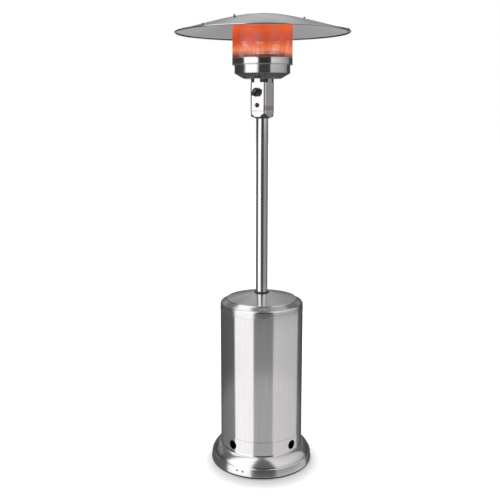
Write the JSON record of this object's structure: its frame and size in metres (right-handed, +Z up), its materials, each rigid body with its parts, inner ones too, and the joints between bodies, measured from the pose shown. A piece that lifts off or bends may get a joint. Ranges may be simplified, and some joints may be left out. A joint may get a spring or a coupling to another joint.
{
  "type": "outdoor gas heater",
  "caption": "Free-standing outdoor gas heater: round reflector over a glowing emitter, a control box on a straight post, and a lift-up housing on a weighted base.",
  "frame": {"origin": "on the floor, on the axis of the post", "axes": "+Z up along the post; the control panel faces -Y; +X to the right of someone who faces the panel"},
  "size_m": [0.813, 0.8129, 2.1683],
  "materials": {
    "polished_steel": "polished stainless steel with a fine vertical grain",
    "satin_steel": "satin stainless sheet",
    "fasteners": "zinc plated",
    "plated_steel": "zinc plated steel",
    "ballast": "black painted steel",
    "black_rubber": "matt",
    "hose_rubber": "matt",
    "black_bracket": "black paint",
    "cylinder_paint": "light grey powder coat",
    "brass": "machined",
    "copper": "drawn tube",
    "regulator_grey": "die cast",
    "black_plastic": "gloss",
    "handwheel_plastic": "moulded",
    "red_plastic": "gloss",
    "insulator": "glazed",
    "glowing_screen": "perforated steel at red heat"
  },
  "bodies": {
    "frame": {"base_shell": "polished_steel", "foot_ring": "black_rubber", "base_plate": "ballast", "base_collar": "polished_steel", "skirt_screws": "fasteners", "support_leg_1": "plated_steel", "support_leg_2": "plated_steel", "support_leg_3": "plated_steel", "leg_bolts": "fasteners", "post_socket": "plated_steel", "post_bolts": "fasteners", "post": "polished_steel", "gas_cylinder": "cylinder_paint", "cylinder_guard": "cylinder_paint", "cylinder_valve": "brass", "regulator": "regulator_grey", "regulator_nut": "black_plastic", "gas_hose": "hose_rubber", "foot_sleeve": "polished_steel", "head_bracket": "black_bracket", "control_box": "polished_steel", "neck_liner": "black_bracket", "box_screws": "fasteners", "dial_plate": "polished_steel", "gas_valve": "brass", "igniter_barrel": "black_plastic", "igniter_bezel": "black_plastic", "tilt_switch": "black_plastic", "bowl_base": "satin_steel", "bowl_wall": "polished_steel", "head_ring": "polished_steel", "burner_tray": "plated_steel", "gas_jet": "brass", "venturi_tube": "plated_steel", "burner": "plated_steel", "pilot_burner": "plated_steel", "pilot_tube": "copper", "thermocouple": "copper", "spark_electrode": "insulator", "emitter_screen": "glowing_screen", "emitter_top": "satin_steel", "reflector_standoffs": "satin_steel", "reflector_panel_1": "satin_steel", "reflector_panel_2": "satin_steel", "reflector_panel_3": "satin_steel", "reflector_straps": "satin_steel", "reflector_crown": "satin_steel", "seam_bolts": "fasteners", "crown_nuts": "fasteners"},
    "housing": {"housing_body": "polished_steel", "housing_lid": "polished_steel", "lid_grommet": "black_rubber"},
    "plunger": {"valve_plunger": "plated_steel"},
    "knob": {"valve_stem": "plated_steel", "control_knob": "black_plastic"},
    "igniter": {"igniter_button": "red_plastic"},
    "handwheel": {"cylinder_handwheel": "handwheel_plastic"}
  },
  "joints": [
    {"name": "housing_lift", "type": "slide", "parent": "frame", "child": "housing", "axis": [0, 0, 1], "range_m": [0, 0.83]},
    {"name": "knob_push", "type": "slide", "parent": "frame", "child": "plunger", "axis": [0, 1, 0], "range_m": [0, 0.004], "stiffness_N_per_m": 1500, "springref_m": -0.003},
    {"name": "knob_turn", "type": "hinge", "parent": "plunger", "child": "knob", "pos_m": [0, -0.0477, 1.817], "axis": [0, -1, 0], "range_deg": [-135, 45]},
    {"name": "igniter_press", "type": "slide", "parent": "frame", "child": "igniter", "axis": [0, 1, 0], "range_m": [0, 0.005], "stiffness_N_per_m": 1200, "springref_m": -0.003},
    {"name": "handwheel_turn", "type": "hinge", "parent": "frame", "child": "handwheel", "pos_m": [0, 0, 0.46], "axis": [0, 0, 1], "range_deg": [-720, 0]}
  ]
}
